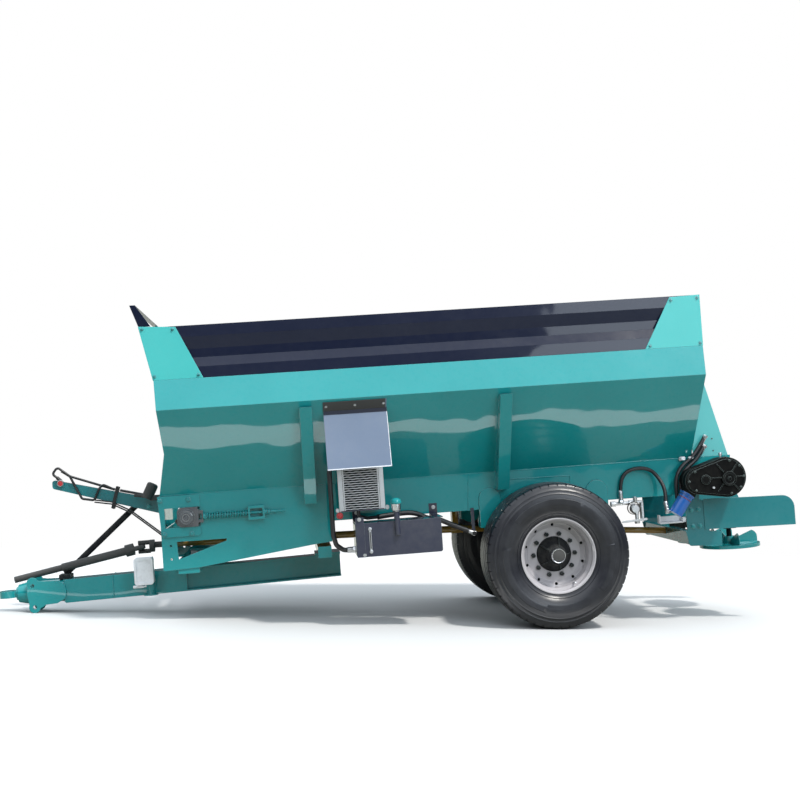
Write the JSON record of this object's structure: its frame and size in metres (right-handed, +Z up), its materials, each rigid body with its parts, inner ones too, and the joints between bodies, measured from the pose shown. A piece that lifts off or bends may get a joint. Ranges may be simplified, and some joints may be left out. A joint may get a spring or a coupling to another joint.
{
  "type": "manure spreader",
  "caption": "Towed farm manure spreader: sloping-sided hopper with a chain floor, two wheels, drawbar, shaft drive, rear gate, twin spreading discs and side deflectors.",
  "frame": {"origin": "on the ground under the middle of the machine, as it stands parked", "axes": "+X to the rear, +Y to the right-hand side, +Z up; the tow ring is at -X"},
  "size_m": [6.6101, 2.3609, 2.6739],
  "materials": {
    "body_paint": "semi-gloss mid teal paint",
    "light_paint": "semi-gloss light teal paint",
    "cover_paint": "semi-gloss blue-grey paint on sheet",
    "board_paint": "semi-gloss grey-blue paint on pressed boards",
    "dark_paint": "dark slate paint",
    "steel": "bare worn steel",
    "zinc": "bright zinc plate",
    "cast": "painted casting",
    "chain": "oiled dark steel",
    "tyre": "black tread rubber",
    "rim_paint": "silver-grey wheel paint",
    "rubber": "black hose rubber",
    "chrome": "polished rod",
    "motor_paint": "blue paint",
    "plastic": "white moulded case",
    "guard_plastic": "black shaft guard",
    "aluminium": "cooler fins"
  },
  "bodies": {
    "chassis": {"side_panels": "body_paint", "front_wall": "body_paint", "rear_wall": "body_paint", "frame_sides": "body_paint", "floor": "body_paint", "apron_chain": "chain", "conveyor_shafts": "steel", "takeup_plates": "body_paint", "shaft_bearings": "cast", "takeup_rods": "zinc", "takeup_springs": "body_paint", "extension_boards": "board_paint", "corner_gussets": "light_paint", "end_boards": "light_paint", "front_guard": "dark_paint", "rear_hood": "body_paint", "gate_cylinder": "cast", "spinner_frame": "body_paint", "spinner_drive": "dark_paint", "deflector_blades": "body_paint", "apron_gearbox": "cast", "apron_motor": "motor_paint", "axle": "dark_paint", "spring_hangers": "body_paint", "leaf_springs": "dark_paint", "spring_clamps": "dark_paint", "drawbar": "body_paint", "hitch_plates": "body_paint", "hitch_eye": "body_paint", "drawbar_mounts": "body_paint", "pto_shaft": "guard_plastic", "line_shaft": "dark_paint", "hose_arm": "body_paint", "arm_strut": "dark_paint", "jack_tube": "body_paint", "jack_case": "plastic", "cooler_core": "aluminium", "oil_brackets": "body_paint", "cooler_cover": "cover_paint", "oil_tank": "dark_paint", "arm_hoses": "rubber", "line_filter": "dark_paint", "oil_hoses": "rubber", "rear_hoses": "rubber"},
    "wheel_left": {"tyre_left": "tyre", "rim_left": "rim_paint", "hub_left": "cast"},
    "wheel_right": {"tyre_right": "tyre", "rim_right": "rim_paint", "hub_right": "cast"},
    "spinner_disc_left": {"spinner_left": "body_paint"},
    "spinner_disc_right": {"spinner_right": "body_paint"},
    "rear_gate": {"gate": "body_paint", "gate_rod": "chrome"},
    "parking_leg": {"jack_leg": "body_paint"}
  },
  "joints": [
    {"name": "wheel_left_spin", "type": "hinge", "parent": "chassis", "child": "wheel_left", "pos_m": [1.20116, -0.8745, 0.575], "axis": [0, 1, 0], "continuous": true},
    {"name": "wheel_right_spin", "type": "hinge", "parent": "chassis", "child": "wheel_right", "pos_m": [1.20116, 0.8745, 0.575], "axis": [0, 1, 0], "continuous": true},
    {"name": "spinner_left_spin", "type": "hinge", "parent": "chassis", "child": "spinner_disc_left", "pos_m": [2.85829, -0.3, 0.61752], "axis": [-0.0823, 0, 0.9966], "continuous": true},
    {"name": "spinner_right_spin", "type": "hinge", "parent": "chassis", "child": "spinner_disc_right", "pos_m": [2.85829, 0.3, 0.61752], "axis": [-0.0823, 0, 0.9966], "continuous": true},
    {"name": "gate_lift", "type": "slide", "parent": "chassis", "child": "rear_gate", "axis": [-0.0823, 0, 0.9966], "range_m": [0, 0.38]},
    {"name": "jack_leg_drop", "type": "slide", "parent": "chassis", "child": "parking_leg", "axis": [0.0823, 0, -0.9966], "range_m": [0, 0.2]}
  ],
  "couplings": [
    {"joint": "spinner_right_spin", "follows": "spinner_left_spin", "ratio": -1}
  ]
}
